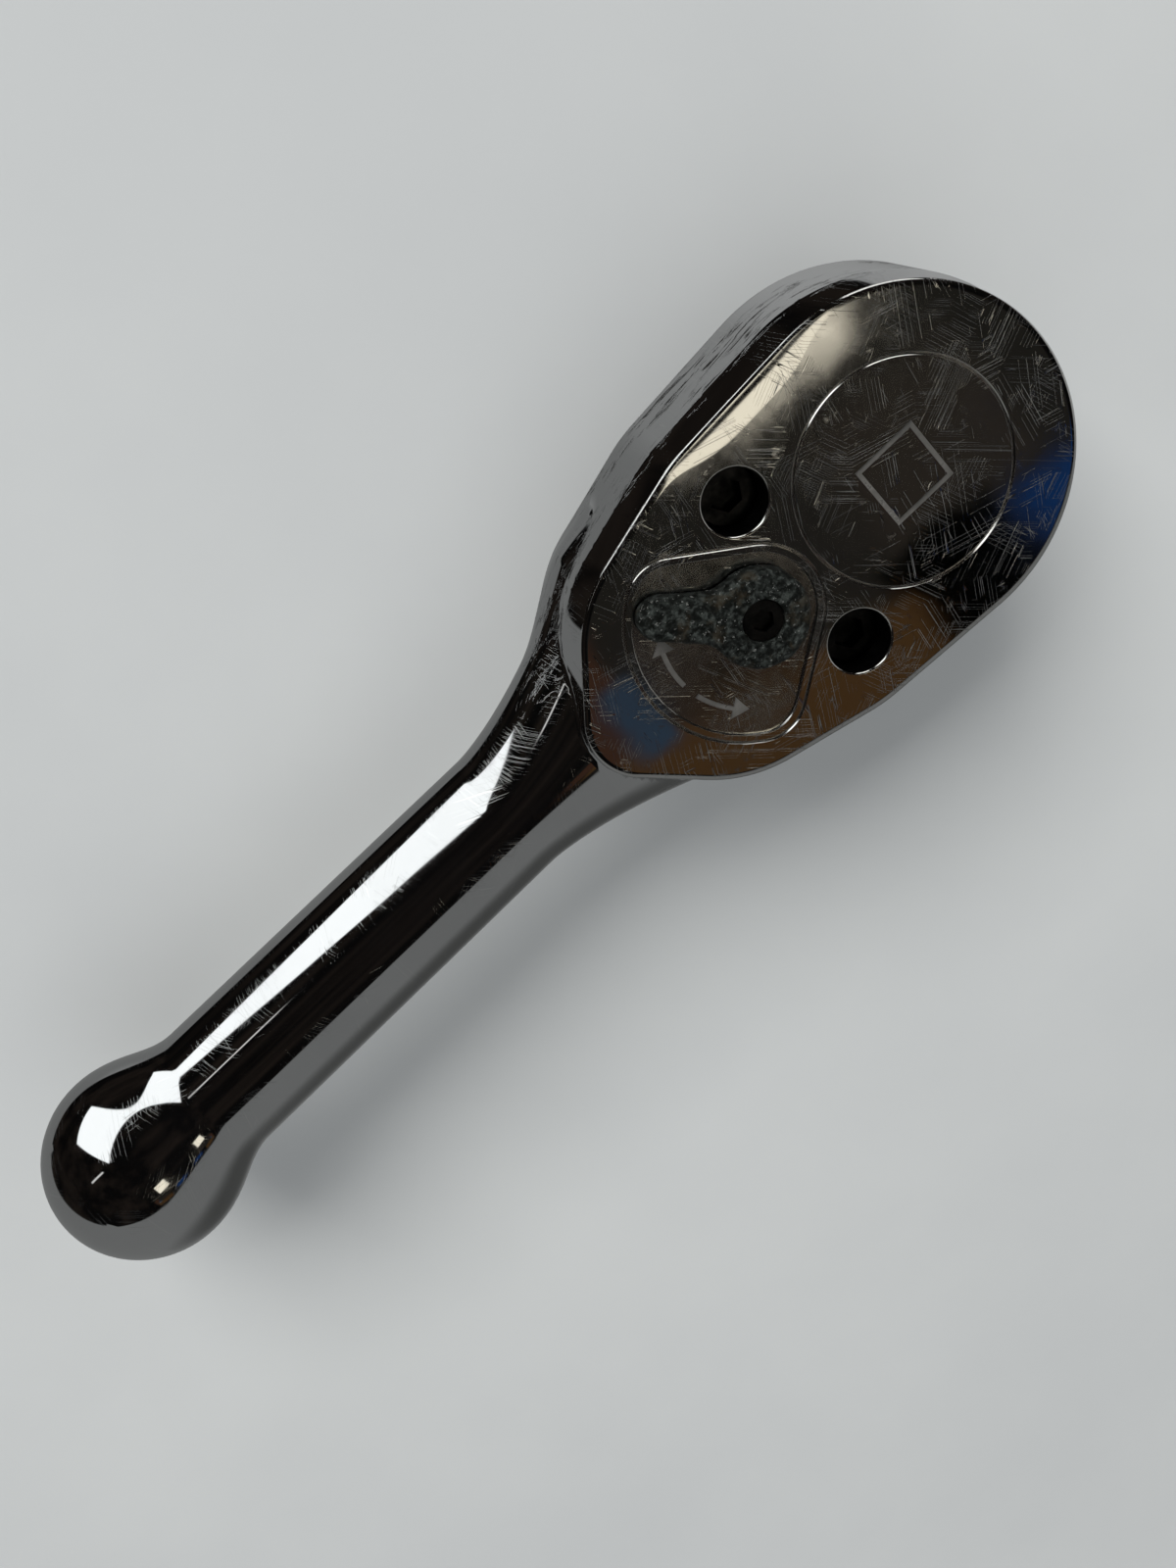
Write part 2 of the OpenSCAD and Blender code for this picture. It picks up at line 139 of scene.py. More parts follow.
def housing_distance(p):
    x, y, z = p[:, 0], p[:, 1], p[:, 2]
    side = pear(x, y, wall_circles(FACE_Z - z))
    head = round_and(side, BASE_Z - z, 2.0)
    zz = z - AXIS_Z
    # handle and flared neck are one ellipse in section
    deep = 5.8 + 0.4 * np.clip((x - 42) / 37, 0, 1)
    wide = deep + 6.2 * np.clip((42 - x) / 18, 0, 1) ** 1.5
    q = np.sqrt((y / wide) ** 2 + (zz / deep) ** 2) + 1e-6
    slope = np.sqrt((y / wide**2) ** 2 + (zz / deep**2) ** 2) / q + 1e-6
    grip = np.maximum((q - 1) / slope, np.maximum(21 - x, x - BALL_X))
    ball = np.sqrt((x - BALL_X) ** 2 + y**2 + zz**2) - BALL_R
    stem = smooth_min(grip, ball, 2.6)
    k = 3.4 - 3.15 * step01(z, 14.5, 21.0)
    return smooth_min(head, stem, k)


def lever_distance(p):
    """The reversing lever in its own frame: pivot at the origin, arm along +X, underside at z = 0."""
    x, y, z = p[:, 0], p[:, 1], p[:, 2]
    hub = round_and(np.hypot(x, y) - 4.05, z - 2.1, 0.75)
    arm = round_and(capsule(x, y, 0, 2.25, 8.1, 1.8), z - 1.75 + 0.012 * (x - 4) ** 2, 0.8)
    both = smooth_min(hub, arm, 0.9)
    ripple = 0.03 * np.sin(2.1 * x + 1.3 * y) * np.sin(1.7 * y - 0.8 * x + 1)
    bore = 1.76 - np.hypot(x, y)
    both = round_and(both + ripple, bore, 0.12)
    return np.maximum(both, -z)


def gradient(f, p, eps=0.01):
    g = np.empty_like(p)
    for i in range(3):
        d = np.zeros(3)
        d[i] = eps
        g[:, i] = (f(p + d) - f(p - d)) / (2 * eps)
    return g


def surface_nets(f, lo, hi, step, rounds=4):
    """Quads on the zero surface of f, each vertex moved onto it, with the normal there."""
    lo, hi = np.array(lo, float), np.array(hi, float)
    n = np.ceil((hi - lo) / step).astype(int) + 1
    axes = [lo[i] + step * np.arange(n[i]) for i in range(3)]
    grid = np.stack(np.meshgrid(*axes, indexing="ij"), -1).reshape(-1, 3)
    values = np.concatenate([f(part) for part in np.array_split(grid, 24)]).reshape(n)
    inside = values < 0
    total = np.zeros((*(n - 1), 3))
    count = np.zeros(n - 1)
    cells = np.arange(np.prod(n - 1)).reshape(n - 1)
    quads = []
    for axis in range(3):
        others = [a for a in range(3) if a != axis]
        a = np.moveaxis(values, axis, 0)
        s = np.moveaxis(inside, axis, 0)
        crossing = np.argwhere(s[:-1] != s[1:])
        v0 = a[:-1][tuple(crossing.T)]
        v1 = a[1:][tuple(crossing.T)]
        where = np.empty_like(crossing)
        where[:, axis] = crossing[:, 0]
        where[:, others[0]] = crossing[:, 1]
        where[:, others[1]] = crossing[:, 2]
        place = where.astype(float)
        place[:, axis] += v0 / (v0 - v1)
        around = []
        good = np.ones(len(where), bool)
        for du, dv in ((0, 0), (-1, 0), (-1, -1), (0, -1)):
            c = where.copy()
            c[:, others[0]] += du
            c[:, others[1]] += dv
            ok = ((c >= 0) & (c < n - 1)).all(1)
            np.add.at(total, tuple(c[ok].T), place[ok])
            np.add.at(count, tuple(c[ok].T), 1)
            good &= ok
            around.append(c)
        ids = np.stack([cells[tuple(c[good].T)] for c in around], 1)
        flip = (v0[good] > 0) ^ (axis == 1)
        ids[flip] = ids[flip][:, ::-1]
        quads.append(ids)
    active = count.ravel() > 0
    number = -np.ones(active.size, int)
    number[active] = np.arange(active.sum())
    verts = (total.reshape(-1, 3)[active] / count.ravel()[active, None]) * step + lo
    quads = number[np.concatenate(quads)]
    for _ in range(rounds):
        g = gradient(f, verts)
        move = f(verts)[:, None] * g / np.maximum((g * g).sum(1), 0.05)[:, None]
        length = np.linalg.norm(move, axis=1, keepdims=True)
        verts = verts - move * np.minimum(1, 0.5 * step / np.maximum(length, 1e-9))
    g = gradient(f, verts)
    return verts, quads, g / np.maximum(np.linalg.norm(g, axis=1, keepdims=True), 1e-9)


# ---------------------------------------------------------------- a mesh built of loops, walls and flat fills
class Shell:
    def __init__(self):
        self.verts, self.normals, self.faces, self.mats = [], [], [], []

    def points(self, pts, normals=None):
        first = len(self.verts)
        self.verts.extend(map(tuple, pts))
        if normals is None:
            normals = [(0, 0, 0)] * len(pts)
        self.normals.extend(map(tuple, normals))
        return list(range(first, first + len(pts)))

    def loop(self, pts2, z, normal=None):
        n = len(pts2)
        return self.points([(p[0], p[1], z) for p in pts2], [normal or (0, 0, 0)] * n)

    def wall(self, a, b, mat=0):
        """Quads between two equal loops; they face out when a is below b and both run anticlockwise."""
        n = len(a)
        for i in range(n):
            j = (i + 1) % n
            self.faces.append((a[i], a[j], b[j], b[i]))
            self.mats.append(mat)

    def fill(self, loops, mat=0, up=True):
        """Fills the area between loops, the outer one first."""
        ids = [i for l in loops for i in l]
        flat = np.array([self.verts[i][:2] for i in ids])
        edges, k = [], 0
        for l in loops:
            edges += [(k + i, k + (i + 1) % len(l)) for i in range(len(l))]
            k += len(l)
        out = delaunay_2d_cdt([Vector(p) for p in flat], edges, [], 0, 1e-7)
        source = [o[0] if o else None for o in out[3]]
        tris = np.array([f for f in out[2] if all(source[i] is not None for i in f)])
        pts = np.array([tuple(v) for v in out[0]])
        mid = pts[tris].mean(1)
        e = np.array([(flat[a], flat[b]) for a, b in edges])
        y0, y1 = e[:, 0, 1][:, None], e[:, 1, 1][:, None]
        x0, x1 = e[:, 0, 0][:, None], e[:, 1, 0][:, None]
        spans = (y0 > mid[:, 1]) != (y1 > mid[:, 1])
        with np.errstate(divide="ignore", invalid="ignore"):
            at = x0 + (mid[:, 1] - y0) / (y1 - y0) * (x1 - x0)
        inside = (spans & (at > mid[:, 0])).sum(0) % 2 == 1
        for tri in tris[inside]:
            a, b, c = (flat[source[i]] for i in tri)
            ccw = (b[0] - a[0]) * (c[1] - a[1]) - (b[1] - a[1]) * (c[0] - a[0]) > 0
            t = [ids[source[i]] for i in tri]
            self.faces.append(tuple(t if ccw == up else t[::-1]))
            self.mats.append(mat)

    def build(self, name, materials, sharp=35):
        me = bpy.data.meshes.new(name)
        me.from_pydata([tuple(c * MM for c in v) for v in self.verts], [], self.faces)
        for m in materials:
            me.materials.append(m)
        me.polygons.foreach_set("material_index", self.mats)
        me.polygons.foreach_set("use_smooth", [True] * len(me.polygons))
        me.update()
        me.set_sharp_from_angle(angle=math.radians(sharp))
        me.normals_split_custom_set_from_vertices(self.normals)
        me.validate()
        ob = bpy.data.objects.new(name, me)
        bpy.context.scene.collection.objects.link(ob)
        return ob


def outline(circles, grow=0.0, steps=360):
    """Anticlockwise outline round a list of circles, each grown by the same amount."""
    pts = []
    for i in range(steps):
        a = 2 * math.pi * i / steps
        u = (math.cos(a), math.sin(a))
        c = max(circles, key=lambda c: c[0] * u[0] + c[1] * u[1] + c[2])
        pts.append((c[0] + (c[2] + grow) * u[0], c[1] + (c[2] + grow) * u[1]))
    return resample(pts, steps)


def resample(pts, n):
    p = np.array(pts + [pts[0]])
    seg = np.hypot(*np.diff(p, axis=0).T)
    s = np.r_[0, np.cumsum(seg)]
    t = np.arange(n) * s[-1] / n
    return list(zip(np.interp(t, s, p[:, 0]), np.interp(t, s, p[:, 1])))


def circle(x, y, r, n=96):
    return [(x + r * math.cos(2 * math.pi * i / n), y + r * math.sin(2 * math.pi * i / n)) for i in range(n)]


UP, DOWN = (0, 0, 1), (0, 0, -1)


def groove(shell, outer, inner, z, depth, mat, up=True):
    """A rounded engraved line between two loops of the same length. Returns the outer and inner lips."""
    n = UP if up else DOWN
    lips = shell.loop(outer, z, n), shell.loop(inner, z, n)
    profile = ((0.05, 0.07), (0.44, 0.93), (0.5, 1.0), (0.56, 0.93), (0.95, 0.07))
    rows = [lips[0]]
    o, i = np.array(outer), np.array(inner)
    for t, d in profile:
        rows.append(shell.loop(o + (i - o) * t, z - depth * d))
    rows.append(lips[1])
    for a, b in zip(rows, rows[1:]):
        shell.wall(a, b, mat)
    return lips


def boundary_loops(faces):
    """Chains of directed boundary edges."""
    edges = {}
    for f in faces:
        for a, b in zip(f, list(f[1:]) + [f[0]]):
            edges[(a, b)] = True
    nxt = {b: a for (a, b) in edges if (b, a) not in edges}
    loops = []
    while nxt:
        start = next(iter(nxt))
        loop, at = [], start
        while at in nxt:
            loop.append(at)
            at = nxt.pop(at)
        loops.append(loop)
    return sorted(loops, key=len, reverse=True)


# ---------------------------------------------------------------- node helpers
class Nodes:
    def __init__(self, tree):
        self.tree = tree
        tree.nodes.clear()

    def new(self, kind, **props):
        n = self.tree.nodes.new(kind)
        for k, v in props.items():
            setattr(n, k, v)
        return n

    def link(self, a, b):
        self.tree.links.new(a, b)

    def put(self, socket, value):
        if hasattr(value, "links"):
            self.link(value, socket)
        else:
            socket.default_value = value

    def math(self, op, a, b=0.0, c=None, clamp=False):
        n = self.new("ShaderNodeMath", operation=op, use_clamp=clamp)
        self.put(n.inputs[0], a)
        self.put(n.inputs[1], b)
        if c is not None:
            self.put(n.inputs[2], c)
        return n.outputs[0]

    def vmath(self, op, a, b=(0, 0, 0)):
        n = self.new("ShaderNodeVectorMath", operation=op)
        self.put(n.inputs[0], a)
        self.put(n.inputs["Scale" if op == "SCALE" else 1], b)
        return n.outputs["Value"] if op in ("DOT_PRODUCT", "LENGTH") else n.outputs["Vector"]

    def ramp(self, value, lo, hi, to_lo=0.0, to_hi=1.0):
        n = self.new("ShaderNodeMapRange", interpolation_type="SMOOTHSTEP")
        self.put(n.inputs["Value"], value)
        self.put(n.inputs["From Min"], lo)
        self.put(n.inputs["From Max"], hi)
        self.put(n.inputs["To Min"], to_lo)
        self.put(n.inputs["To Max"], to_hi)
        return n.outputs["Result"]

    def mix(self, factor, a, b):
        n = self.new("ShaderNodeMix", data_type="RGBA")
        self.put(n.inputs[0], factor)
        self.put(n.inputs[6], a if hasattr(a, "links") else (*a, 1))
        self.put(n.inputs[7], b if hasattr(b, "links") else (*b, 1))
        return n.outputs[2]

    def noise(self, vector, scale, detail=4.0, rough=0.55, distortion=0.0):
        n = self.new("ShaderNodeTexNoise")
        self.put(n.inputs["Vector"], vector)
        n.inputs["Scale"].default_value = scale
        n.inputs["Detail"].default_value = detail
        n.inputs["Roughness"].default_value = rough
        n.inputs["Distortion"].default_value = distortion
        return n.outputs["Fac"]

    def mapped(self, vector, rotate=(0, 0, 0), scale=(1, 1, 1), move=(0, 0, 0)):
        n = self.new("ShaderNodeMapping")
        self.put(n.inputs["Vector"], vector)
        n.inputs["Rotation"].default_value = rotate
        n.inputs["Scale"].default_value = scale
        n.inputs["Location"].default_value = move
        return n.outputs[0]

    def bump(self, height, distance, strength=1.0, normal=None):
        n = self.new("ShaderNodeBump")
        n.inputs["Strength"].default_value = strength
        n.inputs["Distance"].default_value = distance
        self.put(n.inputs["Height"], height)
        if normal is not None:
            self.link(normal, n.inputs["Normal"])
        return n.outputs[0]


def material(name):
    m = bpy.data.materials.new(name)
    m.use_nodes = True
    n = Nodes(m.node_tree)
    shader = n.new("ShaderNodeBsdfPrincipled")
    out = n.new("ShaderNodeOutputMaterial")
    n.link(shader.outputs[0], out.inputs[0])
    place = n.new("ShaderNodeTexCoord").outputs["Object"]
    return m, n, shader, place


SCRATCHES = (
    (0.3, 2600, 26), (1.2, 3100, 40), (2.05, 2300, 22), (2.7, 3400, 45), (1.7, 2900, 20), (0.8, 3700, 34),
)


def chrome(name, scratch, rough, pits=0.0, tint=(0.66, 0.66, 0.665), wave=0.00004, lines_up=0.0):
    """Polished plate with scratches in several directions; lines_up dulls them, pits adds pitted patches."""
    m, n, s, place = material(name)
    s.inputs["Metallic"].default_value = 1.0
    cloud = n.noise(place, 90, detail=5)
    fine = n.noise(place, 900, detail=3)
    lines = None
    for k, (angle, across, along) in enumerate(SCRATCHES):
        bent = n.mapped(place, move=(k * 0.013, -k * 0.021, k * 0.4))
        drift = n.noise(bent, 60, detail=1)
        turned = n.mapped(n.mapped(bent, rotate=(0, 0, angle)), scale=(along, across, along))
        bowed = n.vmath("ADD", turned, n.vmath("SCALE", (0, 1, 0), drift))
        line = n.noise(bowed, 1.0, detail=0.5, rough=0.3)
        one = n.ramp(n.math("ABSOLUTE", n.math("SUBTRACT", line, 0.5)), 0.009, 0.0)
        gate = n.ramp(n.noise(n.mapped(place, move=(k * 0.11, 0.07 * k, 0)), 210, detail=2), 0.54, 0.64)
        one = n.math("MULTIPLY", one, gate)
        lines = one if lines is None else n.math("MAXIMUM", lines, one)
    base = n.mix(n.ramp(cloud, 0.3, 0.75), tint, tuple(c * 0.93 for c in tint))
    base = n.mix(n.math("MULTIPLY", lines, 0.35), base, (0.82, 0.81, 0.79))
    roughness = n.ramp(n.math("MULTIPLY_ADD", fine, 0.35, cloud), 0.45, 0.95, rough[0], rough[1])
    height = n.math("MULTIPLY", lines, -scratch)
    if lines_up > 0:
        dirt = n.ramp(n.noise(place, 420, detail=6, rough=0.7), 0.56, 0.72, 0.0, 0.5)
        roughness = n.math("MAXIMUM", roughness, n.math("MULTIPLY", lines, 0.22 * lines_up))
        roughness = n.math("MAXIMUM", roughness, n.math("MULTIPLY", dirt, 0.5 * lines_up))
    if pits > 0:
        streak = n.mapped(place, scale=(0.22, 1, 1.5))
        spots = n.noise(streak, 1100, detail=6, rough=0.72, distortion=0.6)
        along = n.new("ShaderNodeSeparateXYZ")
        n.link(place, along.inputs[0])
        zone = n.ramp(n.noise(n.mapped(place, scale=(0.5, 1, 1)), 170, detail=3), 0.44, 0.58)
        zone = n.math("MULTIPLY", zone, n.ramp(along.outputs[0], 0.036, 0.024))
        zone = n.math("MULTIPLY", zone, n.ramp(along.outputs[2], 0.0222, 0.0205))
        hole = n.math("MULTIPLY", n.ramp(spots, 0.545, 0.58), n.math("MULTIPLY", zone, pits))
        base = n.mix(hole, base, (0.05, 0.045, 0.04))
        roughness = n.math("MAXIMUM", roughness, n.math("MULTIPLY", hole, 0.5))
        height = n.math("SUBTRACT", height, n.math("MULTIPLY", hole, 1.6))
    n.link(base, s.inputs["Base Color"])
    n.link(roughness, s.inputs["Roughness"])
    soft = n.bump(n.noise(place, 140, detail=1, rough=0.2), wave)
    n.link(n.bump(height, 0.000012, normal=soft), s.inputs["Normal"])
    return m


def steel(name, color, dark, rough, metal=1.0):
    """Plain metal: two tones in patches, fine grain in its gloss and its surface."""
    m, n, s, place = material(name)
    s.inputs["Metallic"].default_value = metal
    patch = n.noise(place, 400, detail=6, rough=0.65)
    grainy = n.noise(place, 2700, detail=4)
    tone = n.mix(n.ramp(patch, 0.32, 0.68), color, dark)
    tone = n.mix(n.ramp(grainy, 0.35, 0.8, 0.0, 0.35), tone, dark)
    n.link(tone, s.inputs["Base Color"])
    n.link(n.ramp(patch, 0.3, 0.75, rough[0], rough[1]), s.inputs["Roughness"])
    height = n.math("MULTIPLY_ADD", grainy, 0.4, patch)
    n.link(n.bump(height, 0.00002), s.inputs["Normal"])
    return m


CHROME_FACE = chrome(
    "chrome_face", scratch=0.8, rough=(0.03, 0.085), tint=(0.64, 0.63, 0.62), wave=0.00003, lines_up=0.8
)
CHROME_SIDE = chrome("chrome_side", scratch=0.12, rough=(0.03, 0.085), pits=1.0, wave=0.00002)
GROOVE = chrome("engraved_line", scratch=0.3, rough=(0.06, 0.2), tint=(0.86, 0.84, 0.8))
# Painted shade: hole walls, the bore and the hollows inside the head are coloured near black so they read as
# dark holes
HOLE_PAINTED_SHADE = steel("hole_wall_painted_shade", (0.05, 0.048, 0.046), (0.012, 0.011, 0.01), (0.35, 0.6))
ETCHED = steel("etched_mark", (0.16, 0.155, 0.145), (0.1, 0.097, 0.09), (0.25, 0.45), metal=0.6)
# The recess floor round and under the lever has a darker tint than the face
RECESS = chrome("chrome_recess", scratch=0.7, rough=(0.08, 0.2), tint=(0.55, 0.53, 0.5), lines_up=0.6)


def corroded(name):
    """Cast metal that has lost its plating: dark pits, grey-green bloom and a few bright specks left."""
    m, n, s, place = material(name)
    broad = n.noise(place, 420, detail=5, rough=0.6)
    fine = n.noise(place, 1700, detail=6, rough=0.72, distortion=0.4)
    tone = n.mix(n.ramp(fine, 0.43, 0.7), (0.004, 0.005, 0.004), (0.07, 0.08, 0.073))
    tone = n.mix(n.math("MULTIPLY", n.ramp(broad, 0.52, 0.66), 0.5), tone, (0.05, 0.036, 0.02))
    shiny = n.ramp(n.noise(place, 2900, detail=3, rough=0.6), 0.64, 0.69)
    tone = n.mix(shiny, tone, (0.6, 0.61, 0.58))
    n.link(tone, s.inputs["Base Color"])
    n.link(n.ramp(fine, 0.4, 0.7, 0.38, 0.62), s.inputs["Roughness"])
    n.link(n.ramp(shiny, 0, 1, 0.55, 1.0), s.inputs["Metallic"])
    height = n.math("MULTIPLY_ADD", fine, 1.0, n.math("MULTIPLY", broad, 0.8))
    n.link(n.bump(height, 0.0004), s.inputs["Normal"])
    return m


LEVER = corroded("corroded_lever")
BLACK = steel("black_oxide", (0.035, 0.034, 0.034), (0.012, 0.012, 0.012), (0.28, 0.5))
SATIN = steel("satin_steel", (0.46, 0.46, 0.46), (0.3, 0.29, 0.28), (0.2, 0.36))
BRIGHT = steel("bright_steel", (0.5, 0.5, 0.5), (0.36, 0.36, 0.36), (0.16, 0.3))
BRONZE = steel("oily_bronze", (0.5, 0.34, 0.15), (0.25, 0.17, 0.08), (0.2, 0.4))
RUBBER = steel("seal_rubber", (0.03, 0.03, 0.03), (0.015, 0.015, 0.015), (0.55, 0.75), metal=0.0)


# ---------------------------------------------------------------- the forged housing
def housing():
    """Head, neck, handle and ball in one mesh, with the recess and holes of the lever face."""
    shell = Shell()
    verts, quads, _ = surface_nets(
        housing_distance, (-17.2, -17.2, 9.8), (97.0, 17.2, 28.0), 0.42
    )
    # cut away the lever face and the flat underside
    me = bpy.data.meshes.new("work")
    me.from_pydata([tuple(v) for v in verts], [], [tuple(q) for q in quads])
    bm = bmesh.new()
    bm.from_mesh(me)
    near_head = [f for f in bm.faces if f.calc_center_median().x < 50]
    geom = set(near_head)
    for f in near_head:
        geom.update(f.edges)
        geom.update(f.verts)
    bmesh.ops.bisect_plane(bm, geom=list(geom), plane_co=(0, 0, RIM_Z), plane_no=(0, 0, 1), dist=1e-5)
    gone = [f for f in bm.faces if f.calc_center_median().z > RIM_Z + 1e-4 and f.calc_center_median().x < 45]
    bmesh.ops.delete(bm, geom=gone, context="FACES")
    bm.verts.ensure_lookup_table()
    xy = np.array([tuple(f.calc_center_median()) for f in bm.faces])
    flat = (xy[:, 2] < BASE_Z + 0.02) & (pear(xy[:, 0], xy[:, 1], FACE_CIRCLES) < -1.2)
    bm.faces.ensure_lookup_table()
    bmesh.ops.delete(bm, geom=[f for f, g in zip(bm.faces, flat) if g], context="FACES")
    loose = [v for v in bm.verts if not v.link_faces]
    bmesh.ops.delete(bm, geom=loose, context="VERTS")
    bm.verts.index_update()
    v = np.array([tuple(x.co) for x in bm.verts])
    rim = np.abs(v[:, 2] - RIM_Z) < 1e-4
    for _ in range(3):
        g = gradient(housing_distance, v[rim])
        g[:, 2] = 0
        v[rim] -= housing_distance(v[rim])[:, None] * g / np.maximum((g * g).sum(1), 0.05)[:, None]
    g = gradient(housing_distance, v)
    g /= np.linalg.norm(g, axis=1, keepdims=True)
    base = shell.points(v, g)
    for f in bm.faces:
        shell.faces.append(tuple(base[x.index] for x in f.verts))
        shell.mats.append(1)
    loops = boundary_loops([[x.index for x in f.verts] for f in bm.faces])
    bm.free()
    bpy.data.meshes.remove(me)
    top = max(loops, key=lambda l: v[l][:, 2].mean() + len(l) * 1e-3)
    # Known fault: the grid above stops at z 9.8 and the ball reaches 8.7, so the lowest loop is the ball's and
    # not the head's. The ball gets a flat cap, and the underside's recess a lid with an open ring round it.
    bottom = max(loops, key=lambda l: -v[l][:, 2].mean() + len(l) * 1e-3)

    # rounded rim, crowned band, then the flat face
    base_line = np.array(outline(FACE_CIRCLES, 0.0, 600))
    flat_out = np.gradient(np.r_[base_line[-1:], base_line, base_line[:1]], axis=0)[1:-1]
    flat_out = np.c_[flat_out[:, 1], -flat_out[:, 0]]
    flat_out /= np.linalg.norm(flat_out, axis=1)[:, None]
    worn = np.exp(-(((base_line[:, 0] - 5.5) / 7.0) ** 4)) * step01(-base_line[:, 1], 6, 12)
    crown_w = 0.3 + 1.75 * worn
    crown_h = 0.012 + 0.1 * worn
    rim_grow = 0.12
    rim_r = 0.3
    rings = []
    for a in (8, 20, 32, 44, 56, 68, 80, 90):
        t = math.radians(a)
        grow = rim_grow - rim_r * (1 - math.cos(t)) - 0.005
        z = RIM_Z + (FACE_Z - crown_h - RIM_Z) * math.sin(t)
        p = base_line + flat_out * grow
        rings.append(shell.points(np.c_[p, z], [(0, 0, 0)] * len(p)))
    for i in range(1, 9):
        k = i / 8
        p = base_line + flat_out * (rim_grow - rim_r - 0.01 - crown_w * k)[:, None]
        z = FACE_Z - crown_h * (1 - k) ** 2
        rings.append(shell.points(np.c_[p, z], [UP if i == 8 else (0, 0, 0)] * len(p)))
    shell.fill([top, rings[0]], 1)
    for a, b in zip(rings, rings[1:]):
        shell.wall(a, b, 0)

    # engraved ring, fan line, recess, screw holes
    ring = groove(shell, circle(0, 0, 9.25, 300), circle(0, 0, 8.95, 300), FACE_Z, 0.17, 2)
    fan = groove(shell, outline(RECESS_CIRCLES, 0.75), outline(RECESS_CIRCLES, 0.45), FACE_Z, 0.18, 2)
    lip = shell.loop(outline(RECESS_CIRCLES, 0.0), FACE_Z, UP)
    holes = []
    for side in (-1, 1):
        c = (SCREW_X, side * SCREW_Y)
        levels = (
            (2.85, FACE_Z),
            (2.79, FACE_Z - 0.03),
            (2.7, FACE_Z - 0.12),
            (2.65, FACE_Z - 0.25),
            (2.65, SCREW_FLOOR_Z),
        )
        hoops = [
            shell.loop(circle(*c, r, 96), z, UP if i == 0 else None) for i, (r, z) in enumerate(levels)
        ]
        # below the bright chamfer the hole walls take the near-black painted-shade material
        for i, (a, b) in enumerate(zip(hoops, hoops[1:])):
            shell.wall(a, b, 2 if i < 3 else 3)
        shank = shell.loop(circle(*c, 1.6, 48), SCREW_FLOOR_Z, UP)
        shell.fill([hoops[-1], shank], 3)
        low = shell.loop(circle(*c, 1.6, 48), PLATE_TOP_Z)
        shell.wall(shank, low, 3)
        holes.append((hoops[0], low))
    symbol = groove_polygon(shell, square_symbol(), FACE_Z, 0.16)
    shell.fill([rings[-1], ring[0], fan[0], *[h[0] for h in holes]], 0)
    shell.fill([ring[1], *symbol[0]], 0)
    for part in symbol[1]:
        shell.fill(part, 0)
    shell.fill([fan[1], lip], 0)

    # the recess under the lever, with its direction arrows and the spindle's bore
    edge = shell.loop(outline(RECESS_CIRCLES, -0.05), FACE_Z - 0.08)
    foot = shell.loop(outline(RECESS_CIRCLES, -0.1), RECESS_Z, UP)
    shell.wall(lip, edge, 2)
    shell.wall(edge, foot, 2)
    bore = shell.loop(circle(LEVER_X, 0, 2.3, 72), RECESS_Z, UP)
    bore_low = shell.loop(circle(LEVER_X, 0, 2.3, 72), GEAR_ROOF_Z, DOWN)
    arrows = [groove_polygon(shell, [a], RECESS_Z, 0.16)[0][0] for a in turn_arrows()]
    shell.fill([foot, bore, *arrows], 4)
    shell.wall(bore, bore_low, 3)

    # the cover's recess and the cavity over it, both behind the lid that the fault above leaves
    recess_lip = shell.loop(outline(PLATE_CIRCLES, 0.05, 240), BASE_Z, DOWN)
    shell.fill([bottom, recess_lip], 1, up=False)
    recess_top = shell.loop(outline(PLATE_CIRCLES, 0.05, 240), PLATE_TOP_Z, DOWN)
    shell.wall(recess_top, recess_lip, 3)
    mouth = shell.loop(outline(CAVITY_CIRCLES, 0.0, 160), PLATE_TOP_Z, DOWN)
    shell.fill([recess_top, mouth, *[h[1] for h in holes]], 3, up=False)
    roof = shell.loop(outline(CAVITY_CIRCLES, 0.0, 160), PAWL_ROOF_Z, DOWN)
    shell.wall(roof, mouth, 3)
    gear_low = shell.loop(circle(0, 0, 9.15, 96), PAWL_ROOF_Z, DOWN)
    well_low = shell.loop(circle(LEVER_X, 0, 3.65, 72), PAWL_ROOF_Z, DOWN)
    shell.fill([roof, gear_low, well_low], 3, up=False)
    gear_top = shell.loop(circle(0, 0, 9.15, 96), GEAR_ROOF_Z, DOWN)
    shell.wall(gear_top, gear_low, 3)
    pilot_low = shell.loop(circle(0, 0, 3.45, 60), GEAR_ROOF_Z, DOWN)
    shell.fill([gear_top, pilot_low], 3, up=False)
    pilot_top = shell.loop(circle(0, 0, 3.45, 60), 22.9, DOWN)
    shell.wall(pilot_top, pilot_low, 3)
    shell.fill([pilot_top], 3, up=False)
    well_top = shell.loop(circle(LEVER_X, 0, 3.65, 72), GEAR_ROOF_Z, DOWN)
    shell.wall(well_top, well_low, 3)
    shell.fill([well_top, bore_low], 3, up=False)
    ob = shell.build("housing_forging", [CHROME_FACE, CHROME_SIDE, GROOVE, HOLE_PAINTED_SHADE, RECESS, ETCHED])
    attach(ob, "housing")
    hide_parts("body")


def offset_polygon(pts, d):
    """Each corner moved inwards by d along its bisector; pts run anticlockwise."""
    p = np.array(pts)
    prev, nxt = p - np.roll(p, 1, 0), np.roll(p, -1, 0) - p
    prev /= np.linalg.norm(prev, axis=1)[:, None]
    nxt /= np.linalg.norm(nxt, axis=1)[:, None]
    n1, n2 = np.c_[-prev[:, 1], prev[:, 0]], np.c_[-nxt[:, 1], nxt[:, 0]]
    b = n1 + n2
    b /= np.maximum((b * n1).sum(1), 0.4)[:, None]
    return p + b * d


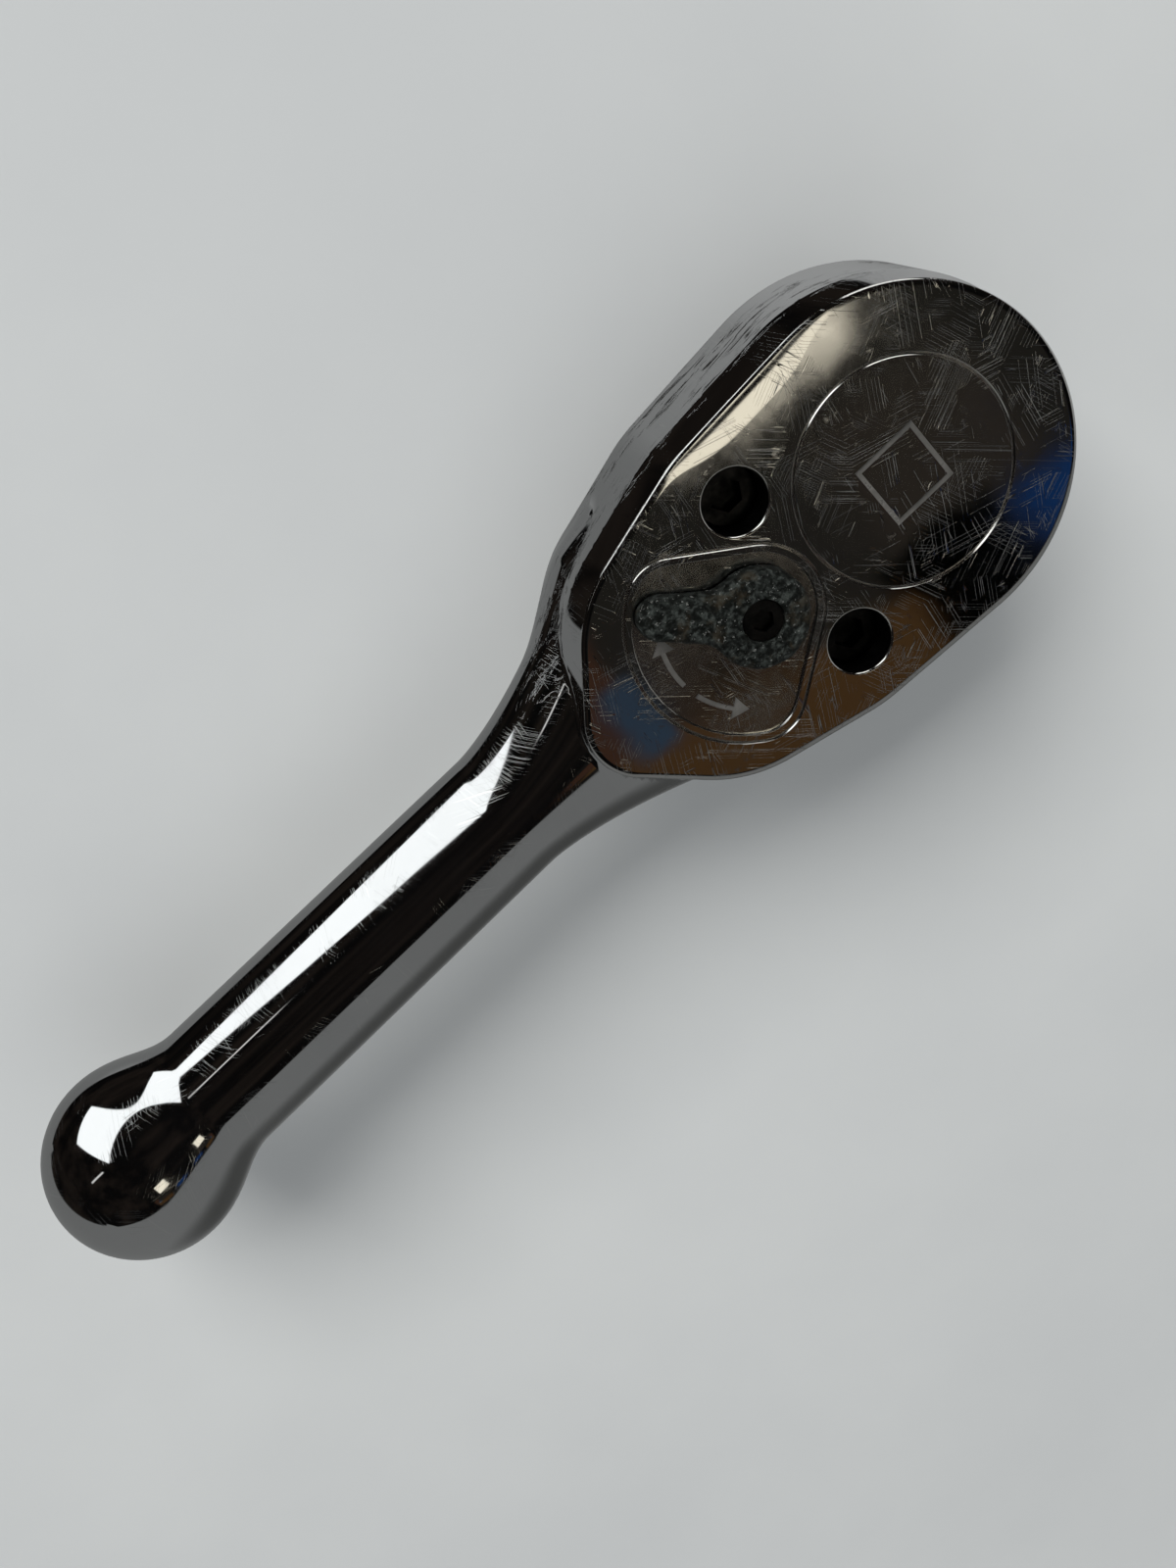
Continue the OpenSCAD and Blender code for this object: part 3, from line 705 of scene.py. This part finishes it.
def groove_polygon(shell, polygons, z, depth):
    """Sunk shapes. Returns the lips to leave out of the face, and the islands to fill at face level."""
    lips, islands = [], []
    for polygon in polygons:
        rings = polygon if isinstance(polygon[0][0], (list, tuple, np.ndarray)) else [polygon]
        lip = shell.loop(rings[0], z, UP)
        floor = shell.loop(offset_polygon(rings[0], 0.05), z - depth, UP)
        shell.wall(lip, floor, 5)
        inner = []
        if len(rings) > 1:
            inner_lip = shell.loop(rings[1], z, UP)
            inner_floor = shell.loop(offset_polygon(rings[1], -0.05), z - depth, UP)
            shell.wall(inner_floor, inner_lip, 5)
            inner = [inner_floor]
            islands.append([inner_lip])
        shell.fill([floor, *inner], 5)
        lips.append(lip)
    return lips, islands


def square_symbol():
    """A plain square, the usual sign for a square drive, on its corner in the middle of the ring."""
    out = []
    for r in (4.1, 3.55):
        angles = [math.radians(a) for a in (45, 135, 225, 315)]
        out.append([(r * math.cos(a), r * math.sin(a)) for a in angles])
    return [out]


def turn_arrows():
    """Two curved arrows on the recess floor, one for each direction."""
    shapes = []
    for start, end in ((12, 36), (2, -22)):
        way = 1 if end > start else -1
        arc = [start + (end - start) * i / 10 for i in range(11)]
        outer = [(8.2, a) for a in arc]
        inner = [(7.8, a) for a in reversed(arc)]
        head = [(8.95, end), (8.0, end + way * 10), (7.05, end)]
        pts = outer + head + inner
        xy = [(LEVER_X + r * math.cos(math.radians(a)), r * math.sin(math.radians(a))) for r, a in pts]
        shapes.append(xy)
    return [s if area(s) > 0 else s[::-1] for s in shapes]


def area(pts):
    p = np.array(pts)
    q = np.roll(p, -1, 0)
    return 0.5 * float((p[:, 0] * q[:, 1] - q[:, 0] * p[:, 1]).sum())


def lever():
    verts, quads, normals = surface_nets(lever_distance, (-4.9, -4.9, -0.6), (10.9, 4.9, 2.9), 0.16)
    shell = Shell()
    shell.points(verts, normals)
    shell.faces = [tuple(q) for q in quads]
    shell.mats = [0] * len(quads)
    c, s = math.cos(LEVER_ANGLE), math.sin(LEVER_ANGLE)
    turned = [(LEVER_X + c * x - s * y, s * x + c * y, 23.85 + z) for x, y, z in shell.verts]
    shell.normals = [(c * x - s * y, s * x + c * y, z) for x, y, z in shell.normals]
    shell.verts = turned
    ob = shell.build("lever_casting", [LEVER], sharp=60)
    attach(ob, "selector")
    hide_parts("reversing_lever")


housing()
lever()

LOOKS = {
    "cover_plate": SATIN, "cover_screw_left": BLACK, "cover_screw_right": BLACK, "pawl_pin": BRIGHT,
    "thrust_washer": BRONZE, "drive_seal": RUBBER, "spindle_seal": RUBBER, "spindle_washer": BRIGHT,
    "drive_gear": SATIN, "detent_ball": BRIGHT, "detent_spring": BRIGHT, "selector_spindle": BRIGHT,
    "lever_screw": BLACK, "plunger": BRIGHT, "plunger_spring": BRIGHT, "pawl": SATIN,
}
for node, look in LOOKS.items():
    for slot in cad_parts[node].material_slots:
        slot.material = look


# ---------------------------------------------------------------- floor, lights and surroundings
def floor():
    """Pale floor that fades into the backdrop and is see-through from below."""
    me = bpy.data.meshes.new("floor")
    half = 8
    corners = [(-half, -half, 0), (half, -half, 0), (half, half, 0), (-half, half, 0)]
    me.from_pydata(corners, [], [(0, 1, 2, 3)])
    ob = bpy.data.objects.new("floor", me)
    ob.location = (0, 0, -0.0002)
    bpy.context.scene.collection.objects.link(ob)
    m, n, s, place = material("pale_floor")
    cloud = n.noise(place, 9, detail=6)
    tone = n.mix(n.ramp(cloud, 0.3, 0.7), (0.375, 0.385, 0.38), (0.335, 0.345, 0.345))
    n.link(tone, s.inputs["Base Color"])
    s.inputs["Roughness"].default_value = 0.6
    out = next(x for x in m.node_tree.nodes if x.type == "OUTPUT_MATERIAL")
    one_sided = n.new("ShaderNodeMixShader")
    away = n.ramp(n.vmath("LENGTH", place), 0.4, 1.6)
    n.link(n.math("MAXIMUM", n.new("ShaderNodeNewGeometry").outputs["Backfacing"], away), one_sided.inputs[0])
    n.link(s.outputs[0], one_sided.inputs[1])
    n.link(n.new("ShaderNodeBsdfTransparent").outputs[0], one_sided.inputs[2])
    n.link(one_sided.outputs[0], out.inputs[0])
    me.materials.append(m)
    ob.visible_glossy = False


floor()


def area_light(name, place, target, size, power, color):
    data = bpy.data.lights.new(name, "AREA")
    data.shape = "RECTANGLE"
    data.size, data.size_y = size
    data.energy = power
    data.color = color
    ob = bpy.data.objects.new(name, data)
    ob.location = place
    ob.rotation_euler = (Vector(target) - Vector(place)).to_track_quat("-Z", "Y").to_euler()
    bpy.context.scene.collection.objects.link(ob)
    ob.visible_glossy = False


area_light("window_light", (-0.12, -1.24, 1.05), (0.04, 0, 0), (1.0, 0.8), 44, (1, 0.99, 0.98))
area_light("fill_light", (0.25, 0.1, 0.9), (0.04, 0, 0), (0.9, 0.9), 3.4, (0.95, 0.97, 1))

# The chrome mirrors a dark studio: a pale floor low on one side, windows on the other, and cards overhead.
FLOOR_UP = (-0.14, -0.84, 0.53)

# Cards overhead: x and y of the middle's direction, half width, half height, turn in degrees, colour, edge
CARDS = [
    (-0.08, 0.41, 0.2, 0.12, 0, (0.015, 0.014, 0.012), 0.03),
    (-0.17, 0.4, 0.055, 0.045, 0, (0.026, 0.022, 0.018), 0.015),
    (-0.14, 0.475, 0.045, 0.035, 0, (0.0006, 0.0006, 0.0006), 0.006),
    (0.01, 0.465, 0.115, 0.03, -16, (0.06, 0.032, 0.013), 0.007),
    (0.1, 0.38, 0.035, 0.04, 0, (0.043, 0.021, 0.013), 0.006),
    (0.07, 0.41, 0.015, 0.022, 0, (0.026, 0.045, 0.072), 0.006),
    (-0.235, 0.48, 0.045, 0.025, 0, (0.006, 0.03, 0.11), 0.006),
    (-0.12, 0.24, 0.08, 0.08, -6, (1.25, 1.17, 0.95), 0.005),
]

# Windows and a lamp tube: directions of the four corners, and colour
WINDOWS = [
    ([(0.1, -0.9, -0.4), (-0.35, -0.95, 0.2), (0.15, -0.7, 0.7), (0.45, -0.9, 0)], (1.45, 1.5, 1.5)),
    ([(-0.55, -0.8, -0.3), (-0.8, -0.45, -0.4), (-0.9, -0.35, 0.3), (-0.55, -0.75, 0.35)], (1.5, 1.52, 1.5)),
    ([(0.33, -0.65, 0.68), (0.33, -0.63, 0.7), (0.6, -0.55, 0.58), (0.6, -0.57, 0.56)], (0.9, 0.9, 0.88)),
]
WINDOW_EDGE = 0.008


def card_corners(x, y, half_w, half_h, turn):
    """Corner directions of a card, all of them upwards."""
    c, s = math.cos(math.radians(turn)), math.sin(math.radians(turn))
    flat = [(x + c * u - s * v, y + s * u + c * v)
            for u, v in ((half_w, half_h), (-half_w, half_h), (-half_w, -half_h), (half_w, -half_h))]
    return [(a, b, math.sqrt(1 - a * a - b * b)) for a, b in flat]


def panels():
    for *place, colour, edge in CARDS:
        yield card_corners(*place), colour, edge
    for corners, colour in WINDOWS:
        yield corners, colour, WINDOW_EDGE


def surroundings():
    """Glossy rays see the studio, everything else an even soft grey."""
    world = bpy.data.worlds.new("room")
    bpy.context.scene.world = world
    world.use_nodes = True
    n = Nodes(world.node_tree)
    d = n.vmath("NORMALIZE", n.new("ShaderNodeTexCoord").outputs["Generated"])
    h = n.vmath("DOT_PRODUCT", d, FLOOR_UP)
    murk = n.noise(d, 3.0, detail=3)
    room = n.mix(n.ramp(murk, 0.4, 0.7), (0.003, 0.0028, 0.0028), (0.014, 0.011, 0.009))
    # Painted shadow and painted light in the mirrored floor: shade darkens it where the tool's own shadow lies
    # beside the handle, lit makes it lighter towards the window
    shade = n.ramp(n.vmath("DOT_PRODUCT", d, (0.1, 0.95, -0.3)), 0.8, 1.0)
    lit = n.ramp(n.vmath("DOT_PRODUCT", d, (-0.9, -0.43, 0)), 0.0, 0.42)
    ground = n.mix(lit, (0.175, 0.18, 0.178), (0.36, 0.368, 0.365))
    ground = n.mix(shade, ground, (0.07, 0.072, 0.07))
    colour = n.mix(n.ramp(h, 0.012, -0.012), room, ground)
    for corners, light, soft_edge in panels():
        c = [Vector(v).normalized() for v in corners]
        middle = sum(c, Vector())
        mask = None
        for a, b in zip(c, c[1:] + c[:1]):
            edge = a.cross(b).normalized()
            if edge.dot(middle) < 0:
                edge = -edge
            one = n.ramp(n.vmath("DOT_PRODUCT", d, tuple(edge)), -soft_edge, soft_edge)
            mask = one if mask is None else n.math("MULTIPLY", mask, one)
        colour = n.mix(mask, colour, light)
    mirror = n.new("ShaderNodeBackground")
    n.link(colour, mirror.inputs[0])
    soft = n.new("ShaderNodeBackground")
    soft.inputs[0].default_value = (0.36, 0.37, 0.38, 1)
    both = n.new("ShaderNodeMixShader")
    n.link(n.new("ShaderNodeLightPath").outputs["Is Glossy Ray"], both.inputs[0])
    n.link(soft.outputs[0], both.inputs[1])
    n.link(mirror.outputs[0], both.inputs[2])
    out = n.new("ShaderNodeOutputWorld")
    n.link(both.outputs[0], out.inputs[0])


surroundings()

bpy.context.scene.view_settings.view_transform = "Standard"

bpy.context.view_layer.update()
